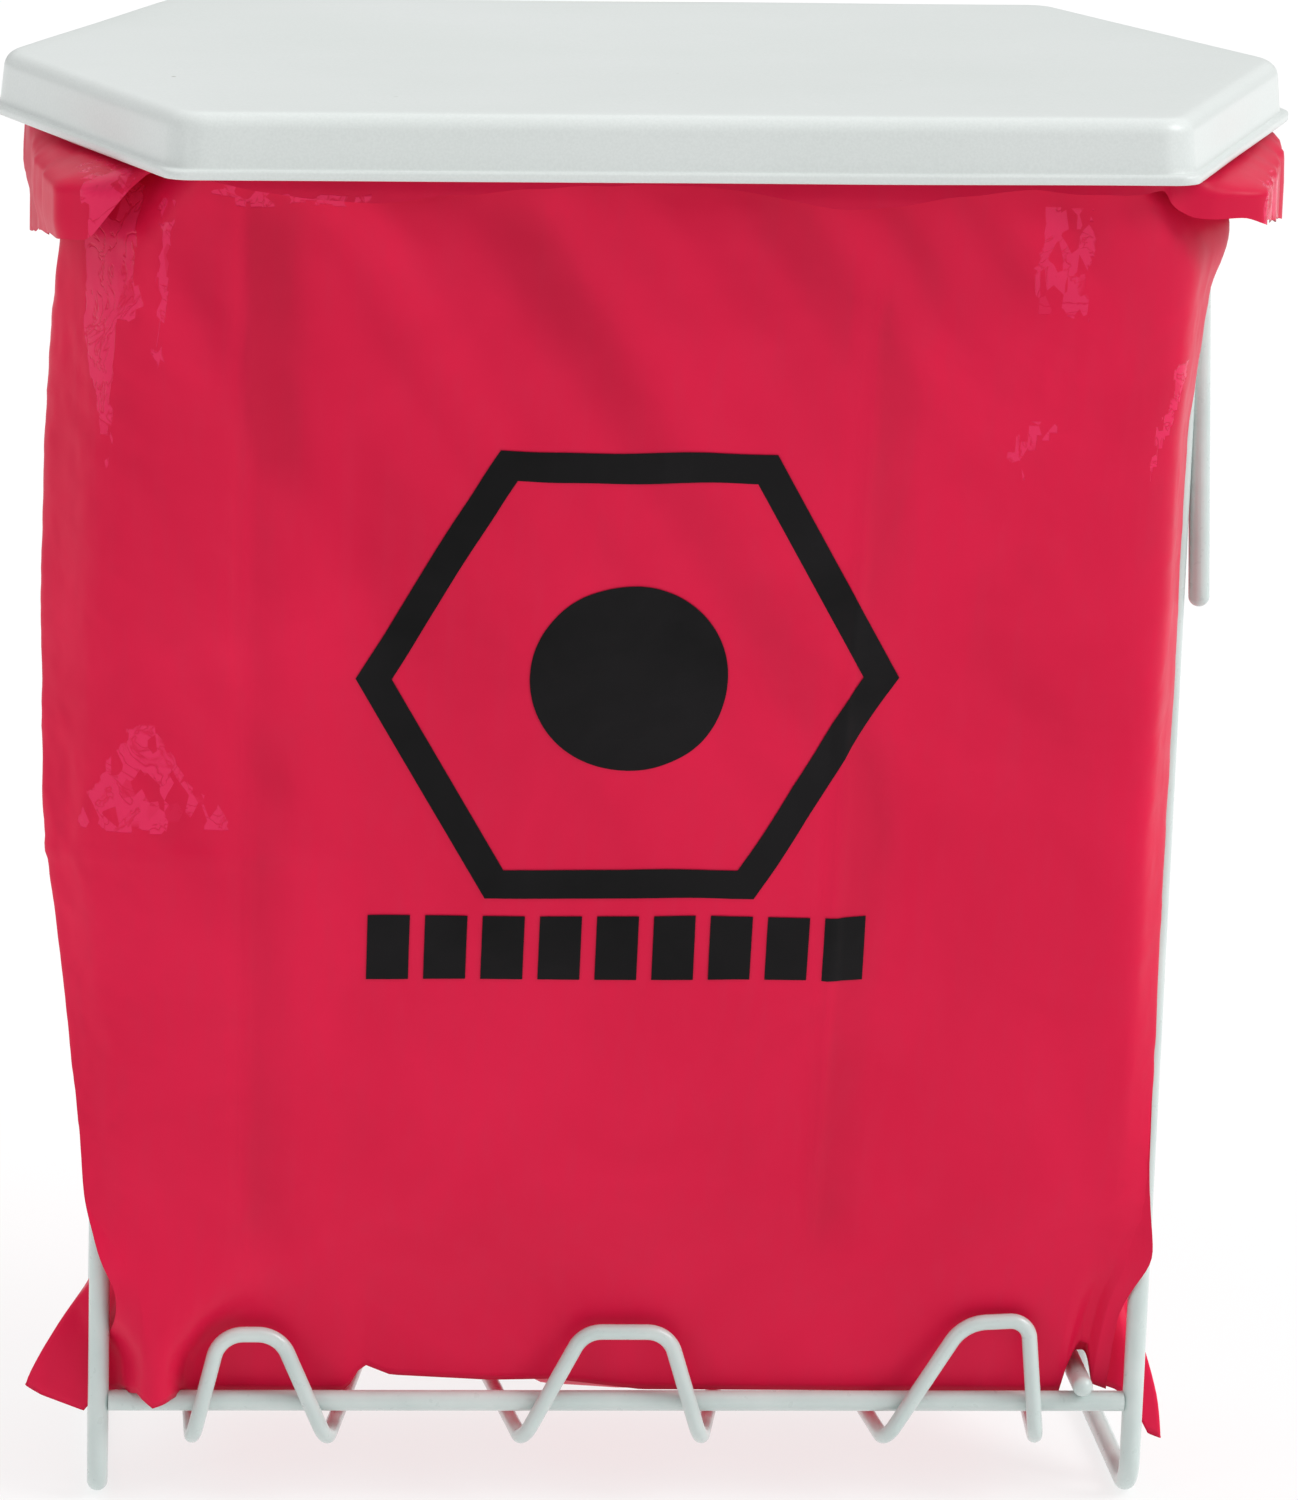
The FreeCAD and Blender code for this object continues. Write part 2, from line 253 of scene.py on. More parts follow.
def film_material(name, dark=False):
    """Crimson film: cloudy, streaked, with a painted highlight of lighter pink, glossier and bumped where
    the highlight mask is set, painted shade on one side of each fold, and a soft gloss. Dark makes the
    black print, without streaks, painted highlights or fold shade."""
    material, tree, shader = new_material(name)
    coords = object_coords(tree)
    if dark:
        stops = [(0.3, (0.0030, 0.0030, 0.0032, 1)), (0.7, (0.010, 0.009, 0.010, 1))]
    else:
        stops = [(0.25, (0.715, 0.0062, 0.054, 1)), (0.75, (0.825, 0.0100, 0.069, 1))]
    cloud = noise_node(tree, coords, 14.0, 5.0, 0.55, 0.6)
    base = ramp(tree, cloud, stops)
    if not dark:
        streaks = add_node(tree, "ShaderNodeMapping", {"Vector": coords, "Scale": (260.0, 260.0, 6.0)})
        streak = noise_node(tree, streaks.outputs["Vector"], 1.0, 3.0)
        streaked = ramp(tree, streak, [(0.45, grey(0.0)), (0.8, grey(0.25))])
        base = mix_colour(tree, streaked, base, (0.70, 0.022, 0.075, 1))
        # Painted highlight: this attribute mask lightens the film to pink in listed patches, broken up into
        # shards and lines; it also lowers the roughness and adds a small bump there
        highlight_and_gloss = add_node(tree, "ShaderNodeAttribute", attribute_name="highlight_and_gloss").outputs["Fac"]
        narrow = add_node(tree, "ShaderNodeMapping", {"Vector": coords, "Scale": (1.5, 1.5, 0.8)})
        cell_inputs = {"Vector": narrow.outputs["Vector"], "Scale": 190.0}
        cells = add_node(tree, "ShaderNodeTexVoronoi", cell_inputs).outputs["Color"]
        shard = add_node(tree, "ShaderNodeSeparateXYZ", {"Vector": cells}).outputs["X"]
        shard = add_node(tree, "ShaderNodeMath", {0: shard, 1: 0.9, 2: -0.45}, operation="MULTIPLY_ADD")
        highlight_and_gloss = add_node(tree, "ShaderNodeMath", {0: highlight_and_gloss, 1: shard.outputs[0]}, operation="ADD").outputs[0]
        highlight_and_gloss = ramp(tree, highlight_and_gloss, [(0.46, grey(0.0)), (0.54, grey(1.0))])
        wisps = noise_node(tree, coords, 60.0, 3.0, 0.6, 1.6)
        creases = ramp(tree, wisps, [(0.465, grey(1.0)), (0.49, grey(0.2)), (0.515, grey(1.0))])
        highlight_and_gloss = mix_colour(tree, 1.0, highlight_and_gloss, creases, "MULTIPLY")
        # Painted shade: this attribute darkens the film on one side of each fold, as if the folds were lit
        # from one side
        fold_shade = add_node(tree, "ShaderNodeAttribute", attribute_name="fold_shade").outputs["Fac"]
        shade = ramp(tree, fold_shade, [(0.0, grey(0.80)), (0.5, grey(0.93)), (1.0, grey(1.0))])
        base = mix_colour(tree, 1.0, base, shade, "MULTIPLY")
        # Painted highlight: the colour is mixed towards a light pink where the highlight mask is high
        painted_highlight = ramp(tree, highlight_and_gloss, [(0.0, grey(0.0)), (1.0, grey(0.8))])
        base = mix_colour(tree, painted_highlight, base, (0.83, 0.030, 0.120, 1))
    gloss = noise_node(tree, coords, 26.0, 4.0, 0.6)
    roughness = ramp(tree, gloss, [(0.3, grey(0.36)), (0.7, grey(0.48))])
    if not dark:
        roughness = mix_colour(tree, highlight_and_gloss, roughness, grey(0.24))
    set_surface(tree, shader, base, roughness)
    shader.inputs["Specular IOR Level"].default_value = 0.10 if dark else 0.14
    soft = noise_node(tree, coords, 30.0, 3.0, 0.5, 1.2)
    fine = noise_node(tree, coords, 240.0, 3.0, 0.6, 0.5)
    layers = [(soft, 0.30, 0.0012), (fine, 0.07, 0.0003)]
    if not dark:
        layers.append((highlight_and_gloss, 0.35, 0.0006))
    bump(tree, shader, layers)
    return material


def plastic_clip_material():
    material, tree, shader = new_material("hinge_clip_nylon")
    coords = object_coords(tree)
    cloud = noise_node(tree, coords, 60.0, 3.0)
    base = ramp(tree, cloud, [(0.3, (0.66, 0.69, 0.68, 1)), (0.7, (0.74, 0.77, 0.755, 1))])
    roughness = ramp(tree, noise_node(tree, coords, 400.0, 2.0), [(0.3, grey(0.40)), (0.7, grey(0.56))])
    set_surface(tree, shader, base, roughness)
    bump(tree, shader, [(noise_node(tree, coords, 900.0, 2.0), 0.25, 0.0002)])
    return material


def steel_material():
    material, tree, shader = new_material("screw_zinc_steel")
    coords = object_coords(tree)
    cloud = noise_node(tree, coords, 500.0, 4.0)
    base = ramp(tree, cloud, [(0.3, (0.46, 0.47, 0.48, 1)), (0.7, (0.66, 0.66, 0.64, 1))])
    shader.inputs["Metallic"].default_value = 1.0
    roughness = ramp(tree, noise_node(tree, coords, 1500.0, 2.0), [(0.3, grey(0.22)), (0.7, grey(0.42))])
    set_surface(tree, shader, base, roughness)
    bump(tree, shader, [(noise_node(tree, coords, 2200.0, 2.0), 0.2, 0.0001)])
    return material


def rubber_material():
    material, tree, shader = new_material("pad_soft_rubber")
    coords = object_coords(tree)
    cloud = noise_node(tree, coords, 220.0, 4.0)
    base = ramp(tree, cloud, [(0.3, (0.028, 0.029, 0.030, 1)), (0.7, (0.055, 0.055, 0.054, 1))])
    roughness = ramp(tree, noise_node(tree, coords, 900.0, 2.0), [(0.3, grey(0.62)), (0.7, grey(0.82))])
    set_surface(tree, shader, base, roughness)
    bump(tree, shader, [(noise_node(tree, coords, 1600.0, 3.0), 0.4, 0.0002)])
    return material


def floor_material():
    material, tree, shader = new_material("studio_floor_white")
    coords = object_coords(tree)
    base = ramp(tree, noise_node(tree, coords, 3.0, 3.0), [(0.3, grey(0.21)), (0.7, grey(0.22))])
    tree.links.new(base, shader.inputs["Base Color"])
    shader.inputs["Emission Color"].default_value = grey(1.0)
    shader.inputs["Emission Strength"].default_value = 0.74
    shader.inputs["Roughness"].default_value = 0.9
    return material


# ---------------------------------------------------------------- lid

LID_TOP = lid_high.z
LID_BOTTOM = lid_low.z
LID_LEAN = math.radians(-0.7)
HINGE_Z = frame["record"]["behaviour"]["joints"][0]["pos_m"][2]
LID_WALL = 2.5 * MM
EDGE_R = 5.0 * MM
SKIRT = FLANGE - 2.2 * MM
SKIRT_TOP = SKIRT - 1.0 * MM
FLANGE_HEIGHT = 2.8 * MM
LID_CORNER_R = 12.5 * MM
LID_END_R = 26 * MM
DISH_DEPTH = 0.9 * MM
NOTCH_HALF_WIDTH = 4.2 * MM


def seat_on_lid(piece):
    """Leans a lid piece to the left by the little that the lid sits askew."""
    pivot = Matrix.Translation((0, 0, HINGE_Z))
    piece.data.transform(pivot @ Matrix.Rotation(LID_LEAN, 4, "Y") @ pivot.inverted())


def edge_arc(offset, z, radius, outside):
    """Profile points of the rounded edge between the top panel and the skirt."""
    points = []
    steps = 8
    for step in range(steps + 1):
        turn = math.pi / 2 * step / steps
        if not outside:
            turn = math.pi / 2 - turn
        points.append((offset - radius * (1 - math.sin(turn)), z - radius * (1 - math.cos(turn))))
    return points


def lid_rows():
    """Rows of points from the middle of the top, over the skirt and flange, to the underside."""
    corner, end = LID_CORNER_R, LID_END_R
    scales = (0.02, 0.12, 0.26, 0.42, 0.58, 0.74, 0.88, 0.96)
    rows = []
    top_offset = SKIRT_TOP - EDGE_R
    for scale in scales:
        rows.append((top_offset, LID_TOP, corner - EDGE_R, end - EDGE_R, scale))
    for offset, z in edge_arc(SKIRT_TOP, LID_TOP, EDGE_R, True):
        shrink = SKIRT_TOP - offset
        rows.append((offset, z, corner - shrink, end - shrink, 1.0))
    shelf = LID_BOTTOM + FLANGE_HEIGHT
    skirt_height = LID_TOP - EDGE_R - shelf
    for step in range(1, 5):
        share = step / 5
        offset = SKIRT_TOP + share * (SKIRT - SKIRT_TOP)
        rows.append((offset, LID_TOP - EDGE_R - share * skirt_height, corner, end, 1.0))
    flange_profile = [
        (SKIRT, shelf + 0.5 * MM),
        (SKIRT + 0.2 * MM, shelf + 0.1 * MM),
        (SKIRT + 0.6 * MM, shelf),
        (FLANGE - 0.7 * MM, shelf),
        (FLANGE - 0.2 * MM, shelf - 0.2 * MM),
        (FLANGE, shelf - 0.7 * MM),
        (FLANGE, LID_BOTTOM + 0.7 * MM),
        (FLANGE - 0.2 * MM, LID_BOTTOM + 0.2 * MM),
        (FLANGE - 0.7 * MM, LID_BOTTOM),
        (SKIRT - LID_WALL + 0.4 * MM, LID_BOTTOM),
        (SKIRT - LID_WALL, LID_BOTTOM + 0.4 * MM),
    ]
    for offset, z in flange_profile:
        sharpen = max(0.0, offset - SKIRT) / (FLANGE - SKIRT)
        rows.append((offset, z, corner - 6 * MM * sharpen, end - 6 * MM * sharpen, 1.0))
    inside = SKIRT_TOP - LID_WALL
    for offset, z in edge_arc(inside, LID_TOP - LID_WALL, EDGE_R - LID_WALL, False):
        shrink = SKIRT_TOP - offset
        rows.append((offset, z, corner - shrink, end - shrink, 1.0))
    for scale in reversed(scales):
        rows.append((inside - EDGE_R + LID_WALL, LID_TOP - LID_WALL, corner - EDGE_R, end - EDGE_R, scale))
    return rows


def make_lid():
    """The moulded lid: a slightly dished panel, soft edge, drafted skirt and flange."""
    rows = []
    for offset, z, corner, end, scale in lid_rows():
        flat = outline(offset, corner, end, 10, 24) * scale
        row = []
        for x, y in flat:
            reach = (x / RING_SPAN) ** 2 + (y / RING_DEPTH) ** 2
            dish = -DISH_DEPTH * max(0.0, 1 - reach) ** 2 if z > LID_BOTTOM + 8 * MM else 0.0
            ripple = 0.16 * MM * noise.noise(Vector((x * 17, y * 17, 3.1)))
            wall = 1 + 0.0009 * noise.noise(Vector((x * 14, y * 14, z * 60)))
            row.append((x * wall, y * wall, z + dish + ripple))
        rows.append(row)
    lid = grid_object("lid_moulding", rows)
    edit = bmesh.new()
    edit.from_mesh(lid.data)
    edit.verts.ensure_lookup_table()
    width = len(rows[0])
    for first in (0, len(edit.verts) - width):
        bmesh.ops.contextual_create(edit, geom=[edit.verts[first + i] for i in range(width)])
    bmesh.ops.recalc_face_normals(edit, faces=edit.faces)
    edit.to_mesh(lid.data)
    edit.free()
    cut_notches(lid)
    seat_on_lid(lid)
    return lid


def cut_notches(lid):
    """Openings in the rear skirt for the two arms of the hinge wire."""
    wire_low, wire_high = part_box("hinge_wire")
    arm_x = wire_high.x - (wire_high.z - wire_low.z) / 2
    low_z = LID_BOTTOM - 3 * MM
    high_z = wire_high.z + 1.8 * MM
    for side in (-1, 1):
        edit = bmesh.new()
        bmesh.ops.create_cube(edit, size=1.0)
        place = Vector((side * arm_x, lid_high.y - 3 * MM, (low_z + high_z) / 2))
        size = Matrix.Diagonal((2 * NOTCH_HALF_WIDTH, 20 * MM, high_z - low_z, 1.0))
        bmesh.ops.transform(edit, matrix=Matrix.Translation(place) @ size, verts=edit.verts)
        cutter_mesh = bpy.data.meshes.new("notch_cutter")
        edit.to_mesh(cutter_mesh)
        edit.free()
        cutter = bpy.data.objects.new("notch_cutter", cutter_mesh)
        bpy.context.scene.collection.objects.link(cutter)
        cut = lid.modifiers.new("notch", "BOOLEAN")
        cut.object = cutter
        cut.solver = "EXACT"
        apply_modifiers(lid)
        bpy.data.objects.remove(cutter)


def apply_modifiers(piece):
    """Bakes a piece's modifiers into its mesh."""
    bpy.context.view_layer.update()
    graph = bpy.context.evaluated_depsgraph_get()
    finished = bpy.data.meshes.new_from_object(piece.evaluated_get(graph))
    piece.modifiers.clear()
    piece.data = finished


# ---------------------------------------------------------------- film liner

# The liner hangs as one sheet: from the loose edge of its cuff up outside the ring, over it,
# and down to the seam along the bottom. Columns run from the left end round the front to the
# right end and back round the rear; rows run down. Tracks are in millimetres: each has a name,
# the number of columns to the next one, and keys of a level and the place (x, y) there. A pleat
# of spare film stands in front of each front leg, a tuck leads behind it, and the bottom corners
# poke out behind the legs.
TRACKS = [
    ("left_end", 26, [
        (428, -173.4, 0), (395, -174, 0), (330, -171, 0), (200, -164, 0), (110, -158, 0),
        (80, -157, -12), (66, -161, -28), (57, -170, -36), (47, -176.6, -38), (33, -184, -38),
    ]),
    ("left_inner", 12, [
        (428, -158, -40), (395, -151, -40), (100, -150, -38), (60, -150, -40), (33, -152, -41),
    ]),
    ("left_tuck", 22, [
        (428, -153, -53), (395, -147, -61), (220, -146, -59), (120, -147, -58), (78, -149, -55),
        (60, -150, -47), (33, -149, -43),
    ]),
    ("left_pleat", 36, [
        (428, -146.5, -70), (422, -154, -71), (416, -166, -71), (410, -175, -70), (404, -178.6, -69),
        (392, -178.6, -68), (370, -181, -67), (330, -182.5, -66), (284, -183, -64), (220, -182, -62),
        (174, -175, -60), (124, -169, -59.5), (100, -167, -59.5), (80, -160.5, -57.5), (71, -155, -53),
        (62, -154.6, -48.5), (52, -157.5, -44), (33, -158.5, -43.6),
    ]),
    ("left_corner", 20, [
        (428, -129.2, -116.6), (395, -153, -105), (330, -163, -95), (200, -162, -77), (100, -151, -62),
        (60, -146, -50), (33, -146, -44.5),
    ]),
    ("left_front", 50, [
        (428, -110, -116.6), (395, -116, -112), (330, -120, -104), (200, -119, -84), (100, -118, -64),
        (60, -118, -50), (33, -118, -44.5),
    ]),
    ("front", 70, [
        (428, 0, -116.6), (330, 0, -105), (200, 0, -84), (100, 0, -64), (60, 0, -50), (33, 0, -44.5),
    ]),
    ("right_corner", 36, [
        (428, 129.2, -116.6), (395, 151, -104), (330, 150, -94), (200, 149, -77), (100, 149, -62),
        (60, 146, -50), (33, 143, -44.5),
    ]),
    ("right_pleat", 22, [
        (428, 146.5, -70), (422, 155, -70), (416, 162, -69), (410, 168, -68), (404, 171.5, -68),
        (394, 168, -67), (385, 164, -66.5), (375, 163.2, -66), (352, 161, -64), (340, 160, -62),
        (300, 159.5, -61), (226, 160, -60), (107, 161.5, -59), (80, 164, -57), (70, 158, -53),
        (60, 154, -49), (33, 152, -44),
    ]),
    ("right_tuck", 12, [
        (428, 153, -53), (395, 147, -61), (220, 146, -59), (120, 147, -58), (78, 149, -54),
        (60, 149, -47), (33, 148, -43),
    ]),
    ("right_inner", 26, [
        (428, 158, -40), (395, 151, -40), (100, 150, -38), (60, 150, -40), (33, 152, -41),
    ]),
    ("right_end", 26, [
        (428, 173.4, 0), (395, 177, 0), (345, 172, 0), (320, 162, 0), (200, 158, 0), (100, 156, 0),
        (75, 156, -14), (66, 160, -28), (55, 166, -38), (45, 170.4, -39), (33, 172.1, -39),
    ]),
    ("right_rear_inner", 12, [
        (428, 158, 40), (380, 151, 40), (100, 150, 38), (60, 149, 26), (33, 150, 8),
    ]),
    ("right_rear_tuck", 22, [
        (428, 153, 53), (380, 148, 60), (160, 147, 58), (70, 148, 46), (33, 146, 34),
    ]),
    ("right_rear_pleat", 36, [
        (428, 146.5, 70), (380, 157, 68), (300, 163, 64), (160, 161, 60), (70, 152, 50), (33, 145, 40),
    ]),
    ("right_rear_corner", 70, [
        (428, 129.2, 116.6), (330, 139, 100), (200, 143, 80), (100, 144, 62), (33, 138, 44),
    ]),
    ("rear", 62, [
        (428, 0, 116.6), (330, 0, 102), (200, 0, 82), (100, 0, 63), (33, 0, 44.5),
    ]),
    ("left_rear_front", 8, [
        (428, -124, 116.6), (330, -134, 100), (200, -138, 80), (100, -138, 62), (33, -132, 44),
    ]),
    ("left_rear_corner", 36, [
        (428, -129.2, 116.6), (330, -139, 100), (200, -143, 80), (100, -144, 62), (33, -138, 44),
    ]),
    ("left_rear_pleat", 22, [
        (428, -146.5, 70), (380, -158, 68), (300, -166, 64), (160, -162, 60), (70, -152, 50),
        (33, -145, 40),
    ]),
    ("left_rear_tuck", 12, [
        (428, -153, 53), (380, -148, 60), (160, -147, 58), (70, -148, 46), (33, -146, 34),
    ]),
    ("left_rear_inner", 26, [
        (428, -158, 40), (380, -151, 40), (100, -150, 38), (60, -150, 26), (33, -151, 8),
    ]),
]
TOP_LEVEL, LOW_LEVEL = 428.0, 33.0
# How far out from the middle of the ring's wire the film is: over the ring, inside it, and where
# the wall begins
OVER_RING, INSIDE_RING, WALL_OFFSET = 3.5, -3.7, -3.9
# Where the cuff leaves its roll over the ring, the top of its slits for the hinge wire's arms,
# and the step of offset that its way outward is taken from
CUFF_TOP, SLIT_TOP, CUFF_RANGE = 430.6, 433.2, 8.0
# How far the cuff's ears reach out close under the ring; the rest of their reach comes below the lid
NEAR_REACH = 7.0
CUFF_ROWS, ROLL_ROWS, WALL_ROWS, SEAM_ROWS = 19, 11, 165, 25
# Height of the wall's lower edge along x, front and rear, and of the seam under the middle
FRONT_EDGE = [
    (-184, 34), (-177, 30), (-164, 25.3), (-158, 33), (-151, 34.5), (-148, 36.3), (-143.2, 32.2),
    (-137, 34.2), (-132, 32.8), (-127, 33.5), (-84, 33.4), (-79, 42.3), (-70.4, 38.8), (-39.6, 37.2),
    (-20.8, 37.6), (6.8, 34.2), (137, 33.6), (139.4, 43), (142.7, 50.4), (145.6, 49), (147.2, 36),
    (155, 33), (160, 30), (166.6, 17.9), (172.1, 15.6),
]
REAR_EDGE = [
    (-184, 34), (-177, 30), (-164, 25.3), (-152, 37), (-148, 45), (-138, 45), (-134, 36), (0, 34),
    (134, 36), (138, 45), (148, 45), (152, 37), (160, 26), (166.6, 17.9), (172.1, 15.6),
]
SEAM = [
    (-184, 34), (-177, 31), (-164, 26), (-152, 42), (-148, 44), (-138, 44), (-133, 33), (-86, 33),
    (-80, 43.5), (-60, 42), (-34, 40), (-22, 33), (0, 31.6), (133, 33), (138, 44), (148, 44), (152, 40),
    (160, 29), (166.6, 19), (172.1, 15.8),
]
# Place of the hinge wire's two arms along x, where the cuff is slit
WIRE_ARM_X = 60.0


def keyed(keys, at):
    """Value at a place, straight between keys."""
    keys = sorted(keys)
    return np.interp(at, [key[0] for key in keys], [key[1] for key in keys])


def ease(value):
    """Smooth step from 0 to 1."""
    value = np.clip(value, 0.0, 1.0)
    return value * value * (3 - 2 * value)


def blur(values, sigma, axis, closed=False):
    """Gaussian smoothing along one axis."""
    reach = int(3 * sigma) + 1
    weights = np.exp(-0.5 * (np.arange(-reach, reach + 1) / sigma) ** 2)
    weights /= weights.sum()
    pad = [(0, 0)] * values.ndim
    pad[axis] = (reach, reach)
    padded = np.pad(values, pad, mode="wrap" if closed else "edge")
    total = np.zeros_like(values)
    for index, weight in enumerate(weights):
        cut = [slice(None)] * values.ndim
        cut[axis] = slice(index, index + values.shape[axis])
        total += weight * padded[tuple(cut)]
    return total


def round_points(points, offset, radius=16.0):
    """Moves points of the sharp hexagon on to the one with bent corners, in millimetres."""
    rounded = outline(offset * MM, (radius + offset) * MM, (radius + offset) * MM, 12, 40) / MM
    after = np.roll(rounded, -1, axis=0)
    run = after - rounded
    length = (run ** 2).sum(axis=1)
    length[length < 1e-9] = 1e-9
    share = ((points[:, None] - rounded) * run).sum(axis=2) / length
    foot = rounded + np.clip(share, 0, 1)[..., None] * run
    nearest = ((points[:, None] - foot) ** 2).sum(axis=2).argmin(axis=1)
    return foot[np.arange(len(points)), nearest]


def hexagon_columns(offset):
    """Where every column crosses the hexagon at an offset, from its place at the top level."""
    front, span, depth = (value / MM for value in ring_hexagon(offset * MM))
    front_in, _, depth_in = (value / MM for value in ring_hexagon(WALL_OFFSET * MM))
    base = level_loop(TOP_LEVEL)
    points = []
    for x, y in base:
        side = math.copysign(1, x)
        back = math.copysign(1, y)
        if abs(x) <= front_in * 1.0001 and abs(y) > depth_in * 0.99:
            points.append((x * front / front_in, back * depth))
        else:
            share = 1 - abs(y) / depth_in
            points.append((side * (front + (span - front) * share), back * depth * (1 - share)))
    return round_points(np.array(points), offset)


def level_loop(level):
    """Corner tracks joined round the loop at one level."""
    corners = []
    for _, _, keys in TRACKS:
        keys = sorted(keys)
        heights = [key[0] for key in keys]
        x = np.interp(level, heights, [key[1] for key in keys])
        y = np.interp(level, heights, [key[2] for key in keys])
        corners.append((x, y))
    row = []
    for index, (_, steps, _) in enumerate(TRACKS):
        x0, y0 = corners[index]
        x1, y1 = corners[(index + 1) % len(TRACKS)]
        for step in range(steps):
            share = step / steps
            row.append((x0 + share * (x1 - x0), y0 + share * (y1 - y0)))
    return np.array(row)


def film_noise(points, scale, seed, stretch=(1, 1, 1)):
    """Smooth noise at each point, with features about scale millimetres wide."""
    values = []
    for x, y, z in points.reshape(-1, 3):
        spot = Vector((x * stretch[0] / scale, y * stretch[1] / scale, z * stretch[2] / scale + seed))
        values.append(noise.noise(spot))
    return np.array(values).reshape(points.shape[:-1])


def film_rows():
    """Every row of the film in millimetres before relief, and how many are cuff and how many wall."""
    levels = np.linspace(TOP_LEVEL, LOW_LEVEL, WALL_ROWS)
    body = np.array([level_loop(level) for level in levels])
    top = hexagon_columns(WALL_OFFSET)
    settle = ease((levels - 423) / 5)[:, None, None]
    body = body * (1 - settle) + top[None] * settle
    soft = ease((levels - 60) / 60)[:, None, None]
    body = blur(body, 1.4, 1, True) * (1 - soft) + blur(body, 5.0, 1, True) * soft
    body = blur(body, 1.6, 0)
    z = np.repeat(levels[:, None], body.shape[1], axis=1)
    x_low = body[-1, :, 0]
    front = np.arange(len(x_low)) < len(x_low) // 2
    edge = np.where(front, keyed(FRONT_EDGE, x_low), keyed(REAR_EDGE, x_low))
    sink = ease((88 - z) / 55)
    z = z + (edge - LOW_LEVEL)[None] * sink
    # The film stands out round the end of the left floor wire, 143 mm left of the middle
    narrow = 8 + 24 * ease((levels - 42) / 42)
    lobe = np.exp(-np.abs((body[..., 0] + 143) / narrow[:, None]) ** 3.4)
    lobe = lobe * ease((104 - levels) / 58)[:, None]
    body[..., 1] -= 12.6 * lobe * front[None]
    body = np.concatenate([body, z[..., None]], axis=2)

    count = body.shape[1]
    partner = (-np.arange(count)) % count
    last = body[-1]
    seam = (last + last[partner]) / 2
    seam[:, 2] = keyed(SEAM, seam[:, 0])
    closing = []
    for share in np.linspace(0, 1, SEAM_ROWS + 1)[1:]:
        row = last * (1 - share) + seam * share
        rise = ease(share / 0.22)
        row[:, 2] = last[:, 2] * (1 - rise) + seam[:, 2] * rise
        closing.append(row)
    closing = np.array(closing)

    cuff = cuff_rows()
    return np.concatenate([cuff, body, closing]), len(cuff), WALL_ROWS


def cuff_rows():
    """The turned-out cuff and the roll over the ring."""
    base = hexagon_columns(0.0)
    x, y = base[:, 0], base[:, 1]
    count = len(x)
    ring = np.stack([x, y, np.zeros(count)], axis=1)
    spread = ease((y + 106) / 28) * ease((42 - y) / 30)
    plane = np.where(x < 0, 185.0, 195.2 + 0.19 * np.minimum(y, 0))
    reach = spread * np.maximum(0.935 * (plane - np.abs(x)) - 5.5, 0)
    droop = np.where(x < 0, ease((y + 100) / 13), ease((y + 112) / 15)) * ease((38 - y) / 20)
    hem = np.where(x < 0, 384.6, 394.6) - 0.172 * np.clip(y, -100, 20)
    dip = 6.5 * np.exp(-((x + 88) / 34) ** 2) + 5.5 * np.exp(-((x - 48) / 24) ** 2)
    bottom = np.where(y < 0, 419.5 - dip, 415.0)
    bottom = bottom + 1.3 * film_noise(ring, 55, 4.2) + 1.2 * film_noise(ring, 15, 8.1)
    bottom = bottom * (1 - droop) + (hem + 1.6 * film_noise(ring, 9, 3.1)) * droop
    slit = ease((7.5 - np.abs(np.abs(x) - WIRE_ARM_X)) / 2.2) * (y > 0)
    bottom = bottom * (1 - slit) + SLIT_TOP * slit
    gather = film_noise(ring, 9.5, 2.7) + 0.5 * film_noise(ring, 21, 9.4)
    rear = (y > 100)
    low = hexagon_columns(OVER_RING)
    high = hexagon_columns(OVER_RING + CUFF_RANGE)
    rows = []
    for share in np.linspace(0, 1, CUFF_ROWS):
        z = bottom + (CUFF_TOP - bottom) * share
        drop = np.clip((CUFF_TOP - z) / 22, 0, 1)
        wave = (0.8 + 1.5 * spread) * gather * drop
        under = np.clip((CUFF_TOP - z) / 9, 0, 1) ** 1.15
        beyond = ease((423.0 - math.tan(LID_LEAN) * x - z) / 8)
        out = 3.55 + 1.9 * np.minimum(drop * 1.6, 1.0) + wave
        out = out + np.minimum(reach, NEAR_REACH) * under + np.maximum(reach - NEAR_REACH, 0) * beyond
        out = out - 2.0 * spread * (x < 0) * ease((404 - z) / 10)
        out = np.where(rear, np.clip(out, OVER_RING, 6.3), np.maximum(out, OVER_RING))
        place = low + (high - low) * ((out - OVER_RING) / CUFF_RANGE)[:, None]
        rows.append(np.concatenate([place, z[:, None]], axis=1))
    for turn in np.linspace(10, 170, ROLL_ROWS):
        place = hexagon_columns(OVER_RING * math.cos(math.radians(turn)))
        z = np.full(count, RING_Z / MM + OVER_RING * math.sin(math.radians(turn)))
        rows.append(np.concatenate([place, z[:, None]], axis=1))
    rows.append(np.concatenate([hexagon_columns(INSIDE_RING), np.full((count, 1), 430.2)], axis=1))
    return np.array(rows)


def grid_normals(rows):
    """Unit normals of a closed grid of points, pointing out of the bag."""
    across = np.roll(rows, -1, axis=1) - np.roll(rows, 1, axis=1)
    down = np.gradient(rows, axis=0)
    normals = np.cross(down, across)
    return normals / np.maximum(np.linalg.norm(normals, axis=2, keepdims=True), 1e-9)


